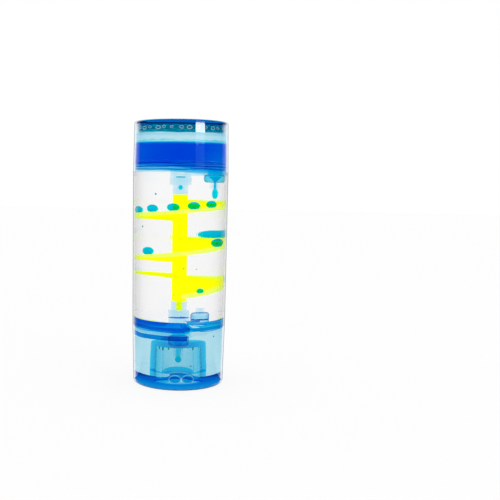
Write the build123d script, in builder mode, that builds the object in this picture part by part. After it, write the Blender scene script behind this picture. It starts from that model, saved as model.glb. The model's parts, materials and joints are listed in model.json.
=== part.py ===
from build123d import *
import os
from math import cos, radians, sin, sqrt

os.makedirs("parts", exist_ok=True)

# A liquid motion timer: a clear tube closed by two tinted cups, three chambers parted by two
# moulded plates, and a spiral slide that coloured drops roll down. It stands on its lower cup,
# with the origin at the middle of the base. Angles are in degrees from the front (-Y), counted
# to the right (+X). All lengths are in millimetres.

# Body
overall_height = 140.0
body_diameter = 51.0
cup_taper = 0.65
wall = 2.0
base_wall = 3.5
top_wall = 2.5
end_edge_radius = 0.9
inner_edge_radius = 1.4
lower_cup_height = 32.0
upper_cup_height = 25.8

# Hollow pillar that rises from the base inside the lower cup, open below. Its height is a
# share of the cup's, and its width a share of the body's.
pillar_height_share = 0.731
pillar_width_share = 0.4157
pillar_taper = 0.5
pillar_wall = 1.7
pillar_roof = 2.6
pillar_edge_radius = 1.3

# Divider plates, both the same moulding but for the fitting at the centre. The lower flange
# lies across the lower seam, and the upper one stands on the end of the tube.
lower_plate_sink = 0.1
floor_thickness = 2.2
floor_drop = 5.8
floor_clearance = 0.1
step_wall = 1.6
step_angle = 17.0
step_seam_angle = 1.0
flange_lap = 0.2
flange_reach = 0.9
flange_clearance = 0.1
flange_band = 1.0

# Hub of a plate, with a wide and a narrow stage, cored out from the end chamber
hub_diameter = 7.9
hub_stage_reach = 8.6
hub_neck_diameter = 5.8
hub_reach = 13.7
core_diameter = 3.4
core_reach = 5.0

# Nozzles of a plate: a short one into the middle chamber and a long one into the end chamber.
# A reach is counted from the middle of the plate, and a place is a share of the bore.
nozzle_edge_radius = 1.2
tip_edge_radius = 0.3
drip_place_share = 0.553
drip_angle = 45.0
drip_base_diameter = 8.5
drip_base_reach = 6.9
drip_tip_diameter = 3.9
drip_tip_reach = 10.7
drip_bowl_diameter = 6.4
drip_throat_diameter = 1.1
drain_place_share = 0.6085
drain_angle = 0.0
drain_base_diameter = 9.2
drain_base_reach = 8.8
drain_tip_diameter = 4.5
drain_tip_reach = 14.8
drain_bowl_diameter = 6.6
drain_throat_diameter = 2.4

# How far the upper plate is turned about the axis
upper_plate_turn = -45.0

# Spiral slide: a shaft between the hubs, with three ramps of a little under a turn each.
# Each ramp has a pitch and a height at the front as shares of the shaft, and two end angles.
shaft_diameter = 5.75
spigot_diameter = 2.4
spigot_length = 5.2
pin_diameter = 2.3
pin_length = 4.2
pin_clearance = 0.05
blind_gap = 0.3
ramp_clearance = 0.35
ramp_root_thickness = 2.2
ramp_rim_thickness = 1.5
ramp_corner_radius = 3.0
ramp_pitch_shares = (0.271, 0.234, 0.181)
ramp_front_shares = (0.071, 0.467, 0.848)
ramp_spans = ((4.0, 230.0), (-130.0, 187.0), (-176.0, 180.0))

# Coloured liquid, heavier than the clear oil round it. It keeps off the step of the lower
# plate with a rounded shoulder, lies round the pillar in an open ring, and clings to the
# ceiling in a film with a scalloped rim.
upper_level_share = 0.603
middle_depth = 4.5
lower_depth = 3.2
shoulder_radius = 4.2
shoulder_depth = 9.0
shoulder_angle = 6.0
lower_pool_start = 27.0
lower_pool_arc = 318.0
lower_pool_end_share = 0.36
film_thickness = 0.5
film_width_share = 0.9
scallops = 26
scallop_diameter = 4.6

# Drops. Each on a ramp has an angle, a width and a height, and keeps this far off the tube.
ramp_drop_clearance = 0.3
ramp_drop_sink = 0.35
upper_ramp_drops = (
    (-70.7, 5.8, 3.9),
    (-41.0, 6.1, 4.2),
    (-9.5, 6.4, 4.2),
    (19.0, 6.4, 4.2),
    (46.9, 6.0, 4.0),
)
middle_ramp_drops = ((-49.0, 6.4, 4.4), (64.0, 7.6, 4.8), (156.0, 7.0, 4.6))
lower_ramp_drops = ((29.0, 3.9, 2.9), (104.0, 6.4, 4.2))
landed_drop_place_share = 0.809
landed_drop_width = 6.0
landed_drop_height = 4.6
landed_drop_sink = 0.5
landed_drop_angles = (-4.5, 14.5)
drip_drop_width = 2.7
drip_drop_height = 5.5
drain_drop_width = 3.1
drain_drop_height = 3.6
hanging_drop_lap = 0.3
hub_drop_width = 2.0
hub_drop_height = 2.5
hub_drop_clearance = 0.2
hub_drop_lap = 0.4
core_drop_height = 0.7

# Cuts run past the faces that they pierce by this much
overrun = 1.0

# Worked out from the sizes above
body_radius = body_diameter / 2
end_radius = body_radius - cup_taper
bore_radius = body_radius - wall
upper_seam = overall_height - upper_cup_height
ceiling = overall_height - top_wall
floor_half = floor_drop / 2
plate_half = floor_half + floor_thickness / 2
floor_depth = floor_drop + floor_thickness / 2 + overrun
flange_half = floor_half - floor_thickness / 2 + flange_lap / 2
flange_radius = bore_radius + flange_reach
seat_radius = flange_radius + flange_clearance
lower_plate_height = lower_cup_height - lower_plate_sink
upper_plate_height = upper_seam + flange_half
drip_radius = bore_radius * drip_place_share
drain_radius = bore_radius * drain_place_share
upper_drip_angle = 90 - upper_plate_turn - drip_angle
shaft_bottom = lower_plate_height + hub_reach
shaft_top = upper_plate_height - hub_reach
shaft_length = shaft_top - shaft_bottom
ramp_radius = bore_radius - ramp_clearance
pillar_height = lower_cup_height * pillar_height_share
pillar_base_radius = body_radius * pillar_width_share
pillar_roof_radius = pillar_base_radius - pillar_taper
lower_room_radius = end_radius - wall + cup_taper * base_wall / lower_cup_height
upper_room_radius = end_radius - wall + cup_taper * top_wall / upper_cup_height
upper_level = upper_plate_height + upper_level_share * (ceiling - upper_plate_height)
upper_level_radius = (end_radius - wall
                      + cup_taper * (overall_height - upper_level) / upper_cup_height)
middle_level = lower_plate_height + middle_depth
pool_inner_radius = pillar_base_radius - pillar_wall / 2
pool_outer_radius = end_radius - wall / 2
pool_end_radius = lower_pool_end_share * (pool_outer_radius - pool_inner_radius)
film_radius = upper_room_radius * film_width_share

# Seats of the plates: z points into the middle chamber
lower_seat = Plane(origin=(0, 0, lower_plate_height))
upper_seat = Plane(
    origin=(0, 0, upper_plate_height),
    x_dir=(cos(radians(upper_plate_turn)), sin(radians(upper_plate_turn)), 0),
    z_dir=(0, 0, -1),
)


def at_angle(radius, angle, height=0):
    """Point at a radius from the axis and an angle from the front."""
    return (radius * sin(radians(angle)), -radius * cos(radians(angle)), height)


def radial_plane(angle, height):
    """Upright plane through the axis, with x outward at the angle and y up."""
    return Plane(
        origin=(0, 0, height),
        x_dir=at_angle(1, angle),
        z_dir=(-cos(radians(angle)), -sin(radians(angle)), 0),
    )


def nozzle_plane(radius, angle, direction):
    """Upright plane through a nozzle's own axis, with y along the nozzle."""
    return Plane(
        origin=at_angle(radius, angle),
        x_dir=(1, 0, 0),
        z_dir=(0, -direction, 0),
    )


def tangent_plane(radius, angle, height):
    """Upright plane that faces outward at a radius, with x to the right."""
    return Plane(
        origin=at_angle(radius, angle, height),
        x_dir=(cos(radians(angle)), sin(radians(angle)), 0),
        z_dir=at_angle(1, angle),
    )


def helix(angle, height, turn, pitch, radius):
    """Helix that climbs from an angle and height, to the left where the turn is negative."""
    start = Plane(origin=(0, 0, height), x_dir=at_angle(1, angle), z_dir=(0, 0, 1))
    rise = pitch * abs(turn) / 360
    return start * Helix(pitch=pitch, height=rise, radius=radius, lefthand=turn < 0)


def floor_height(angle):
    """Height of the middle of a plate's floor, which falls to the right from the step."""
    return floor_half - floor_drop * ((angle - step_angle) % 360) / 360


def helical_floor(below, above, outer_radius):
    """One turn of floor, so much below and above its middle, with the wall at its step."""
    inner_radius = hub_diameter / 4
    start_angle = step_angle - step_seam_angle
    with BuildPart() as turn:
        with BuildSketch(radial_plane(start_angle, -floor_half)):
            with Locations(((inner_radius + outer_radius) / 2, (above - below) / 2)):
                Rectangle(outer_radius - inner_radius, above + below)
        sweep(
            path=helix(start_angle, -floor_half, 2 * step_seam_angle - 360, floor_drop,
                       outer_radius / 2),
            is_frenet=True,
        )
        with BuildSketch(radial_plane(step_angle, 0)):
            with Locations((outer_radius / 2, (above - below) / 2)):
                Rectangle(outer_radius, floor_drop + above + below)
        extrude(amount=step_wall / 2, both=True)
        with BuildSketch(Plane.XY.offset(-floor_half - below)):
            Circle(hub_diameter / 2)
        extrude(amount=floor_drop + below + above)
    return turn.part


def nozzle(radius, angle, direction, base_diameter, base_reach, tip_diameter, tip_reach):
    """Solid body of a nozzle: a round base with a softened edge and a slim tip."""
    root = direction * floor_height(angle)
    with BuildPart() as body:
        with BuildSketch(nozzle_plane(radius, angle, direction)) as section:
            with BuildLine():
                Polyline(
                    (0, root),
                    (base_diameter / 2, root),
                    (base_diameter / 2, base_reach),
                    (tip_diameter / 2, base_reach),
                    (tip_diameter / 2, tip_reach),
                    (0, tip_reach),
                    close=True,
                )
            make_face()
            outer_corners = section.vertices().group_by(Axis.Y)
            fillet(outer_corners[-1].sort_by(Axis.X)[-1], tip_edge_radius)
        revolve(axis=Axis(at_angle(radius, angle), (0, 0, 1)))
        base_rims = body.edges().filter_by(GeomType.CIRCLE).sort_by(SortBy.RADIUS)
        fillet(base_rims.group_by(SortBy.RADIUS)[-1].sort_by(Axis.Z)[-1 if direction > 0 else 0],
               nozzle_edge_radius)
    return body.part


def liquid_way(radius, angle, direction, bowl_diameter, throat_diameter, base_reach, tip_reach):
    """The room inside a nozzle: a bowl, a cone and a throat that ends at the tip."""
    with BuildPart() as way:
        with BuildSketch(nozzle_plane(radius, angle, direction)):
            with BuildLine():
                Polyline(
                    (0, -plate_half),
                    (bowl_diameter / 2, -plate_half),
                    (bowl_diameter / 2, base_reach - bowl_diameter / 2),
                    (throat_diameter / 2, base_reach),
                    (throat_diameter / 2, tip_reach),
                    (0, tip_reach),
                    close=True,
                )
            make_face()
        revolve(axis=Axis(at_angle(radius, angle), (0, 0, 1)))
    return way.part


def drip_way():
    return liquid_way(drip_radius, drip_angle, 1, drip_bowl_diameter, drip_throat_diameter,
                      drip_base_reach, drip_tip_reach)


def drain_way():
    return liquid_way(drain_radius, drain_angle, -1, drain_bowl_diameter,
                      drain_throat_diameter, drain_base_reach, drain_tip_reach)


def divider_plate():
    """Plate about its own middle, with the middle chamber on its +z side."""
    with BuildPart() as plate:
        with BuildSketch(Plane.XY.offset(-flange_half)):
            Circle(flange_radius)
            Circle(bore_radius - flange_band, mode=Mode.SUBTRACT)
        extrude(amount=2 * flange_half)
        add(helical_floor(floor_thickness / 2, floor_thickness / 2,
                          bore_radius - floor_clearance))
        with BuildSketch():
            Circle(hub_diameter / 2)
        extrude(amount=hub_stage_reach)
        with BuildSketch(Plane.XY.offset(hub_stage_reach)):
            Circle(hub_neck_diameter / 2)
        extrude(amount=hub_reach - hub_stage_reach)
        add(nozzle(drip_radius, drip_angle, 1, drip_base_diameter, drip_base_reach,
                   drip_tip_diameter, drip_tip_reach))
        add(nozzle(drain_radius, drain_angle, -1, drain_base_diameter, drain_base_reach,
                   drain_tip_diameter, drain_tip_reach))
        add(drip_way(), mode=Mode.SUBTRACT)
        add(drain_way(), mode=Mode.SUBTRACT)
        with BuildSketch(Plane.XY.offset(-plate_half - overrun)):
            Circle(core_diameter / 2)
        extrude(amount=plate_half + overrun + core_reach, mode=Mode.SUBTRACT)
    return plate.part


def core_way():
    """The room inside the hub of a plate, up to its blind end."""
    with BuildPart() as core:
        with BuildSketch(Plane.XY.offset(-plate_half)):
            Circle(core_diameter / 2)
        extrude(amount=plate_half + core_reach)
    return core.part


def drop(radius, angle, bottom, width, tall):
    """Egg-shaped drop about an upright axis, from its lowest point."""
    with BuildPart() as bead:
        Sphere(width / 2)
        scale(by=(1, 1, tall / width))
    return Location(at_angle(radius, angle, bottom + tall / 2)) * bead.part


def ramp_height(ramp, angle):
    """Height of the middle of a ramp at an angle."""
    front = shaft_bottom + shaft_length * ramp_front_shares[ramp]
    return front + shaft_length * ramp_pitch_shares[ramp] * angle / 360


def ramp_corner(ramp, angle, side):
    """What comes off the outer corner at an end of a ramp that lies to one side of the angle."""
    plane = Plane(origin=(0, 0, ramp_height(ramp, angle)), x_dir=at_angle(1, angle), z_dir=(0, 0, 1))
    centre_radius = sqrt(ramp_radius**2 - ramp_corner_radius**2) - ramp_corner_radius
    with BuildPart() as corner:
        with BuildSketch(plane):
            with Locations((centre_radius + ramp_corner_radius, 0)):
                Rectangle(2 * ramp_corner_radius, 2 * ramp_corner_radius)
            with Locations((centre_radius, side * ramp_corner_radius)):
                Circle(ramp_corner_radius, mode=Mode.SUBTRACT)
        extrude(amount=ramp_root_thickness, both=True)
    return corner.part


def ramp_drop(ramp, angle, width, tall):
    """Drop on a ramp, a little sunk so that its underside follows the ramp."""
    bottom = ramp_height(ramp, angle) + ramp_rim_thickness / 2 - ramp_drop_sink
    return drop(bore_radius - ramp_drop_clearance - width / 2, angle, bottom, width, tall)


# Clear tube, with a shallow seat for the lower flange
with BuildPart() as clear_tube:
    with BuildSketch(Plane.XY.offset(lower_cup_height)):
        Circle(body_radius)
        Circle(bore_radius, mode=Mode.SUBTRACT)
    extrude(amount=upper_seam - lower_cup_height)
    with BuildSketch(Plane.XY.offset(lower_plate_height + flange_half)):
        Circle(seat_radius)
    extrude(amount=lower_cup_height - overrun - lower_plate_height - flange_half,
            mode=Mode.SUBTRACT)

# Lower cup: drafted wall, thick base and the hollow pillar
with BuildPart() as lower_end_cup:
    with BuildSketch(Plane.XZ):
        with BuildLine():
            Polyline(
                (pillar_base_radius - pillar_wall, 0),
                (end_radius, 0),
                (body_radius, lower_cup_height),
                (seat_radius, lower_cup_height),
                (seat_radius, lower_plate_height - flange_half),
                (bore_radius, lower_plate_height - flange_half),
                (lower_room_radius, base_wall),
                (pillar_base_radius, base_wall),
                (pillar_roof_radius, pillar_height),
                (0, pillar_height),
                (0, pillar_height - pillar_roof),
                (pillar_roof_radius - pillar_wall, pillar_height - pillar_roof),
                close=True,
            )
        make_face()
    revolve(axis=Axis.Z)
    rings = lower_end_cup.edges().filter_by(GeomType.CIRCLE)
    fillet(rings.group_by(Axis.Z)[0].sort_by(SortBy.RADIUS)[-1], end_edge_radius)
    rings = lower_end_cup.edges().filter_by(GeomType.CIRCLE)
    fillet(rings.filter_by_position(Axis.Z, base_wall, base_wall), inner_edge_radius)
    rings = lower_end_cup.edges().filter_by(GeomType.CIRCLE)
    fillet(rings.filter_by_position(Axis.Z, pillar_height, pillar_height), pillar_edge_radius)

# Upper cup: drafted wall under a thick end
with BuildPart() as upper_end_cup:
    with BuildSketch(Plane.XZ):
        with BuildLine():
            Polyline(
                (0, overall_height),
                (end_radius, overall_height),
                (body_radius, upper_seam),
                (seat_radius, upper_seam),
                (seat_radius, upper_plate_height + flange_half),
                (bore_radius, upper_plate_height + flange_half),
                (upper_room_radius, ceiling),
                (0, ceiling),
                close=True,
            )
        make_face()
    revolve(axis=Axis.Z)
    rings = upper_end_cup.edges().filter_by(GeomType.CIRCLE)
    fillet(rings.group_by(Axis.Z)[-1], end_edge_radius)
    rings = upper_end_cup.edges().filter_by(GeomType.CIRCLE)
    fillet(rings.filter_by_position(Axis.Z, ceiling, ceiling), inner_edge_radius)

# Lower divider plate, with a socket for the spigot of the slide
with BuildPart(lower_seat) as lower_divider_plate:
    add(divider_plate())
    with BuildSketch(lower_seat.offset(hub_reach + overrun)):
        Circle(spigot_diameter / 2 + pin_clearance)
    extrude(amount=-spigot_length - blind_gap - overrun, mode=Mode.SUBTRACT)

# Upper divider plate, the same moulding turned over, with a pin for the slide
with BuildPart(upper_seat) as upper_divider_plate:
    add(divider_plate())
    with BuildSketch(upper_seat.offset(hub_reach)):
        Circle(pin_diameter / 2)
    extrude(amount=pin_length)

# Spiral slide: the shaft with its spigot and pin hole, and the three ramps
with BuildPart() as spiral_slide:
    with BuildSketch(Plane.XY.offset(shaft_bottom)):
        Circle(shaft_diameter / 2)
    extrude(amount=shaft_length)
    with BuildSketch(Plane.XY.offset(shaft_bottom)):
        Circle(spigot_diameter / 2)
    extrude(amount=-spigot_length)
    for ramp, (first_angle, last_angle) in enumerate(ramp_spans):
        start_height = ramp_height(ramp, first_angle)
        with BuildSketch(radial_plane(first_angle, start_height)):
            with BuildLine():
                Polyline(
                    (shaft_diameter / 4, -ramp_root_thickness / 2),
                    (ramp_radius, -ramp_rim_thickness / 2),
                    (ramp_radius, ramp_rim_thickness / 2),
                    (shaft_diameter / 4, ramp_root_thickness / 2),
                    close=True,
                )
            make_face()
        sweep(
            path=helix(first_angle, start_height, last_angle - first_angle,
                       shaft_length * ramp_pitch_shares[ramp], ramp_radius / 2),
            is_frenet=True,
        )
        add(ramp_corner(ramp, first_angle, 1), mode=Mode.SUBTRACT)
        add(ramp_corner(ramp, last_angle, -1), mode=Mode.SUBTRACT)
    with BuildSketch(Plane.XY.offset(shaft_top + overrun)):
        Circle(pin_diameter / 2 + pin_clearance)
    extrude(amount=-pin_length - blind_gap - overrun, mode=Mode.SUBTRACT)

# A plate's floor with all that lies beyond it, on the side of the end and of the middle chamber
floor_and_end_side = helical_floor(floor_depth, floor_thickness / 2, bore_radius + overrun)
floor_and_middle_side = helical_floor(floor_thickness / 2, floor_depth, bore_radius + overrun)

# Coloured liquid above the upper plate, and down through its short nozzle
with BuildPart() as upper_blue_liquid:
    with BuildSketch(Plane.XZ):
        with BuildLine():
            Polyline(
                (0, upper_plate_height - plate_half),
                (bore_radius, upper_plate_height - plate_half),
                (bore_radius, upper_plate_height + flange_half),
                (upper_level_radius, upper_level),
                (0, upper_level),
                close=True,
            )
        make_face()
    revolve(axis=Axis.Z)
    with Locations(upper_seat):
        add(floor_and_middle_side, mode=Mode.SUBTRACT)
    add(upper_divider_plate.part, mode=Mode.SUBTRACT)
    with Locations(upper_seat):
        add(drain_way(), mode=Mode.SUBTRACT)
        add(drip_way())

# Coloured liquid on the lower plate, and down through its long nozzle
with BuildPart() as middle_blue_liquid:
    with BuildSketch(Plane.XY.offset(lower_plate_height - plate_half)):
        Circle(bore_radius)
    extrude(amount=middle_level - lower_plate_height + plate_half)
    with Locations(lower_seat):
        add(floor_and_end_side, mode=Mode.SUBTRACT)
    add(lower_divider_plate.part, mode=Mode.SUBTRACT)
    with BuildSketch(tangent_plane(bore_radius, shoulder_angle, middle_level)):
        Rectangle(2 * shoulder_radius, 2 * shoulder_radius, align=(Align.MIN, Align.CENTER))
        with Locations((0, -shoulder_radius)):
            Circle(shoulder_radius, mode=Mode.SUBTRACT)
    extrude(amount=-shoulder_depth, mode=Mode.SUBTRACT)
    with Locations(lower_seat):
        add(drip_way(), mode=Mode.SUBTRACT)
        add(core_way(), mode=Mode.SUBTRACT)
        add(drain_way())

# Coloured liquid on the floor of the lower cup, in an open ring round the pillar
with BuildPart() as lower_blue_liquid:
    with BuildSketch(radial_plane(lower_pool_start, base_wall)):
        with Locations(((pool_inner_radius + pool_outer_radius) / 2, lower_depth / 2)):
            Rectangle(pool_outer_radius - pool_inner_radius, lower_depth)
    revolve(axis=Axis.Z, revolution_arc=lower_pool_arc)
    fillet(lower_blue_liquid.edges().filter_by(Axis.Z), pool_end_radius)
    add(lower_end_cup.part, mode=Mode.SUBTRACT)

# Drops on the three ramps, first to last down each
ramp_drops = {}
for ramp, (ramp_name, sizes) in enumerate((
    ("lower", lower_ramp_drops),
    ("middle", middle_ramp_drops),
    ("upper", upper_ramp_drops),
)):
    for number, (angle, width, tall) in enumerate(reversed(sizes), start=1):
        with BuildPart() as ramp_bead:
            add(ramp_drop(ramp, angle, width, tall))
            add(spiral_slide.part, mode=Mode.SUBTRACT)
        ramp_drops[f"{ramp_name}_ramp_drop_{number}"] = ramp_bead

# Drops landed on the floor of the lower cup, in the gap of the ring
landed_drops = {}
for number, angle in enumerate(landed_drop_angles, start=1):
    with BuildPart() as landed_bead:
        add(drop(bore_radius * landed_drop_place_share, angle, base_wall - landed_drop_sink,
                 landed_drop_width, landed_drop_height))
        add(lower_end_cup.part, mode=Mode.SUBTRACT)
    landed_drops[f"landed_drop_{number}"] = landed_bead

# Drops that hang from the short nozzle of the upper plate and the long one of the lower plate
with BuildPart() as drip_drop:
    add(drop(drip_radius, upper_drip_angle,
             upper_plate_height - drip_tip_reach - drip_drop_height + hanging_drop_lap,
             drip_drop_width, drip_drop_height))
    add(upper_divider_plate.part, mode=Mode.SUBTRACT)
    add(upper_blue_liquid.part, mode=Mode.SUBTRACT)
with BuildPart() as drain_drop:
    add(drop(drain_radius, drain_angle,
             lower_plate_height - drain_tip_reach - drain_drop_height + hanging_drop_lap,
             drain_drop_width, drain_drop_height))
    add(lower_divider_plate.part, mode=Mode.SUBTRACT)
    add(middle_blue_liquid.part, mode=Mode.SUBTRACT)

# Drop that clings to the front of the upper hub, and a little liquid caught in its core
with BuildPart() as hub_drop:
    add(drop(hub_neck_diameter / 2 + hub_drop_width / 2 - hub_drop_lap, drain_angle,
             upper_plate_height - hub_stage_reach - hub_drop_clearance - hub_drop_height,
             hub_drop_width, hub_drop_height))
    add(upper_divider_plate.part, mode=Mode.SUBTRACT)
with BuildPart() as core_drop:
    with BuildSketch(upper_seat.offset(core_reach)):
        Circle(core_diameter / 2)
    extrude(amount=-core_drop_height)

# Film left on the ceiling from when the timer stood the other way up
with BuildPart() as ceiling_film:
    with BuildSketch(Plane.XY.offset(ceiling - film_thickness)):
        Circle(film_radius)
        with PolarLocations(film_radius, scallops):
            Circle(scallop_diameter / 2)
    extrude(amount=film_thickness)
    add(upper_end_cup.part, mode=Mode.SUBTRACT)

# Clear oil that fills the three chambers round the coloured liquid
with BuildPart() as upper_clear_oil:
    with BuildSketch(Plane.XZ):
        with BuildLine():
            Polyline(
                (0, upper_plate_height - plate_half),
                (bore_radius, upper_plate_height - plate_half),
                (bore_radius, upper_plate_height + flange_half),
                (upper_room_radius, ceiling),
                (0, ceiling),
                close=True,
            )
        make_face()
    revolve(axis=Axis.Z)
    with Locations(upper_seat):
        add(floor_and_middle_side, mode=Mode.SUBTRACT)
    add(upper_end_cup.part, mode=Mode.SUBTRACT)
    add(upper_divider_plate.part, mode=Mode.SUBTRACT)
    add(upper_blue_liquid.part, mode=Mode.SUBTRACT)
    add(ceiling_film.part, mode=Mode.SUBTRACT)
    with Locations(upper_seat):
        add(core_way(), mode=Mode.SUBTRACT)
        add(drain_way())
with BuildPart() as middle_clear_oil:
    with BuildSketch(Plane.XY.offset(lower_plate_height - plate_half)):
        Circle(bore_radius)
    extrude(amount=upper_plate_height - lower_plate_height + 2 * plate_half)
    with Locations(lower_seat, upper_seat):
        add(floor_and_end_side, mode=Mode.SUBTRACT)
        add(drip_way(), mode=Mode.SUBTRACT)
        add(drain_way(), mode=Mode.SUBTRACT)
    with BuildSketch(lower_seat):
        Circle(core_diameter / 2)
    extrude(amount=upper_plate_height - lower_plate_height, mode=Mode.SUBTRACT)
    for solid_piece in (lower_divider_plate, upper_divider_plate, spiral_slide):
        add(solid_piece.part, mode=Mode.SUBTRACT)
    for liquid_piece in (middle_blue_liquid, drip_drop, hub_drop, *ramp_drops.values()):
        add(liquid_piece.part, mode=Mode.SUBTRACT)
    with Locations(lower_seat):
        add(drip_way())
with BuildPart() as lower_clear_oil:
    with BuildSketch(Plane.XZ):
        with BuildLine():
            Polyline(
                (0, base_wall),
                (lower_room_radius, base_wall),
                (bore_radius, lower_plate_height - flange_half),
                (bore_radius, lower_plate_height + plate_half),
                (0, lower_plate_height + plate_half),
                close=True,
            )
        make_face()
    revolve(axis=Axis.Z)
    with Locations(lower_seat):
        add(floor_and_middle_side, mode=Mode.SUBTRACT)
        add(drip_way(), mode=Mode.SUBTRACT)
        add(drain_way(), mode=Mode.SUBTRACT)
        add(core_way(), mode=Mode.SUBTRACT)
    with BuildSketch():
        Circle(pillar_roof_radius - pillar_wall / 2)
    extrude(amount=pillar_height - pillar_roof / 2, mode=Mode.SUBTRACT)
    for solid_piece in (lower_end_cup, lower_divider_plate):
        add(solid_piece.part, mode=Mode.SUBTRACT)
    for liquid_piece in (lower_blue_liquid, drain_drop, *landed_drops.values()):
        add(liquid_piece.part, mode=Mode.SUBTRACT)

pieces = {
    "clear_tube": clear_tube,
    "lower_end_cup": lower_end_cup,
    "upper_end_cup": upper_end_cup,
    "lower_divider_plate": lower_divider_plate,
    "upper_divider_plate": upper_divider_plate,
    "spiral_slide": spiral_slide,
    "upper_blue_liquid": upper_blue_liquid,
    "middle_blue_liquid": middle_blue_liquid,
    "lower_blue_liquid": lower_blue_liquid,
    "drip_drop": drip_drop,
    "drain_drop": drain_drop,
    "hub_drop": hub_drop,
    "core_drop": core_drop,
    "ceiling_film": ceiling_film,
    "upper_clear_oil": upper_clear_oil,
    "middle_clear_oil": middle_clear_oil,
    "lower_clear_oil": lower_clear_oil,
    **ramp_drops,
    **landed_drops,
}
for name, piece in pieces.items():
    piece.part.label = name
    export_step(piece.part, f"parts/{name}.step")
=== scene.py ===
"""Looks of a liquid motion timer, laid out as an add-on with an operator for each group of pieces.

Places and sizes are in millimetres, and angles in degrees, where a comment does not say otherwise.
"""

import json
import random
from math import atan2, cos, pi, radians, sin

import bpy
from mathutils import Matrix, Vector

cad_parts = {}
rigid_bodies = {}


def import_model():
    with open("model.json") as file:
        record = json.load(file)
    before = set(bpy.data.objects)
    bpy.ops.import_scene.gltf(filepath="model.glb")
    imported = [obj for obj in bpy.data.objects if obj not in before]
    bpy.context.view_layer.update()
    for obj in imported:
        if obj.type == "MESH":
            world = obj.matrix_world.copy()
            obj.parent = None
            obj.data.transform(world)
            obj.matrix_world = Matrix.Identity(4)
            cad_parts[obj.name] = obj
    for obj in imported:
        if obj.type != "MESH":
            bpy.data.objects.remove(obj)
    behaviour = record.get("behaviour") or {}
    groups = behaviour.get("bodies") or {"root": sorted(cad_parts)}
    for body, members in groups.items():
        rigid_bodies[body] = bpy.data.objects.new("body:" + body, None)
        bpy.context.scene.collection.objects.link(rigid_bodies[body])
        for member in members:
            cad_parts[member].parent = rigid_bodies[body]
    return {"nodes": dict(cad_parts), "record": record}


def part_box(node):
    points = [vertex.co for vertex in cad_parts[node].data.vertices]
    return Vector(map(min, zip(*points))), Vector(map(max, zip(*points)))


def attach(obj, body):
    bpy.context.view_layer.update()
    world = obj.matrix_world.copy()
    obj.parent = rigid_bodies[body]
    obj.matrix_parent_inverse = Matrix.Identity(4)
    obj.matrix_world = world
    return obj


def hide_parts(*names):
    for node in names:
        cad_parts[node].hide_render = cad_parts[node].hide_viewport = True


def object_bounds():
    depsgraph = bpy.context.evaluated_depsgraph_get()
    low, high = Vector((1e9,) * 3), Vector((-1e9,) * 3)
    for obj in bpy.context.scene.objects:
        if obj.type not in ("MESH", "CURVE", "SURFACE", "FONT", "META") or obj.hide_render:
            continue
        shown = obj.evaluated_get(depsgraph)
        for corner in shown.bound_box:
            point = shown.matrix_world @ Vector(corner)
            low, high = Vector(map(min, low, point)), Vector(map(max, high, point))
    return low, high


bl_info = {
    "name": "Liquid motion timer",
    "version": (1, 0, 0),
    "blender": (4, 5, 0),
    "location": "View3D > Sidebar > Timer",
    "description": "Dresses the packed liquid motion timer and sets its stage",
    "category": "Object",
}

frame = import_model()
nodes = frame["nodes"]
cad_low, cad_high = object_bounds()
MILLIMETRE = 0.001  # in metres
PER_METRE = 1000  # millimetres in a metre
TOP = cad_high[2] / MILLIMETRE

PLATE_NODES = ("lower_divider_plate", "upper_divider_plate")
OIL_NODES = ("upper_clear_oil", "middle_clear_oil", "lower_clear_oil")
DROP_NODES = tuple(sorted(name for name in nodes if "_drop" in name))

# Edges over these angles stay sharp, on a node's copy and on a new piece. A meniscus rounds only
# edges over an angle of its own. Points closer than WELD become one.
CREASE_ANGLE = radians(30.0)
NEW_CREASE_ANGLE = radians(50.0)
MENISCUS_ANGLE = radians(60.0)
WELD = 0.002

# How level a face is, from 0 on a wall to 1 on a floor. A wall is under UPRIGHT. The rounded
# shoulder of a pool is between SHOULDER and FLAT. A plate is wet where it is over PLATE_FLAT.
UPRIGHT = 0.5
SHOULDER = 0.25
FLAT = 0.95
PLATE_FLAT = 0.9

# Walls: outside are the upright faces beyond OUTER_RADIUS, the top end and the recess under the
# hollow pillar. The pillar's own faces lie within PILLAR_RADIUS and under PILLAR_TOP.
OUTER_RADIUS = 24.7
END_DEPTH = 1.0
RECESS_RADIUS = 9.1
RECESS_HEIGHTS = (3.0, 21.2)
PILLAR_RADIUS = 12.5
PILLAR_TOP = 24.0
COLLAR_HEIGHTS = (TOP - 6.5, TOP - 1.7)
# Painted shade: between these radii the painted light under the base darkens towards its rim.
FOOT_RIM_RADII = (15.0, 23.0)

# Plates: they are wet with coloured liquid over the first height and between the next two. A band
# of the lower one is stained, outside its hub.
UPPER_PLATE_WET = 113.5
LOWER_PLATE_WET = (27.5, 36.6)
PLATE_BAND = (31.6, 33.5)
HUB_RADIUS = 5.0

# Liquid: the part of the upper layer that stands in the nozzle, how high the two pools are wet by
# what they touch, and the deep part of the one on the floor of the lower cup.
NOZZLE_LAYER = 111.8
POOL_WET = 36.0
BASE_POOL_WET = 6.3
BASE_POOL_DEEP = 5.5
SHOULDER_DROP = 0.1

# Slide: its ramps turn paler between these radii.
RAMP_RIM_RADII = (13.0, 23.0)

# Refractive indices against the oil.
PLATE_INDEX = 1.03
SLIDE_INDEX = 1.004
POOL_INDEX = 0.905
DROP_INDEX = 0.97
FILM_INDEX = 1.0

WHITE = (1.0, 1.0, 1.0)
# Colour of the painted highlights.
PAINTED_HIGHLIGHT_COLOUR = (0.9, 0.98, 1.0)
LIT_COLOUR = (0.0, 0.55, 0.62)
FILM_LOSS = (0.02, 0.004, 0.001)
GRAIN_DEPTH = 0.01 * MILLIMETRE

# Films against the wall of the tube.
LINE_RADIUS = 23.0
STREAK_RADIUS = 23.2
FILM_THICKNESS = 0.3
FILM_SOFTNESS = 0.05

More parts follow.
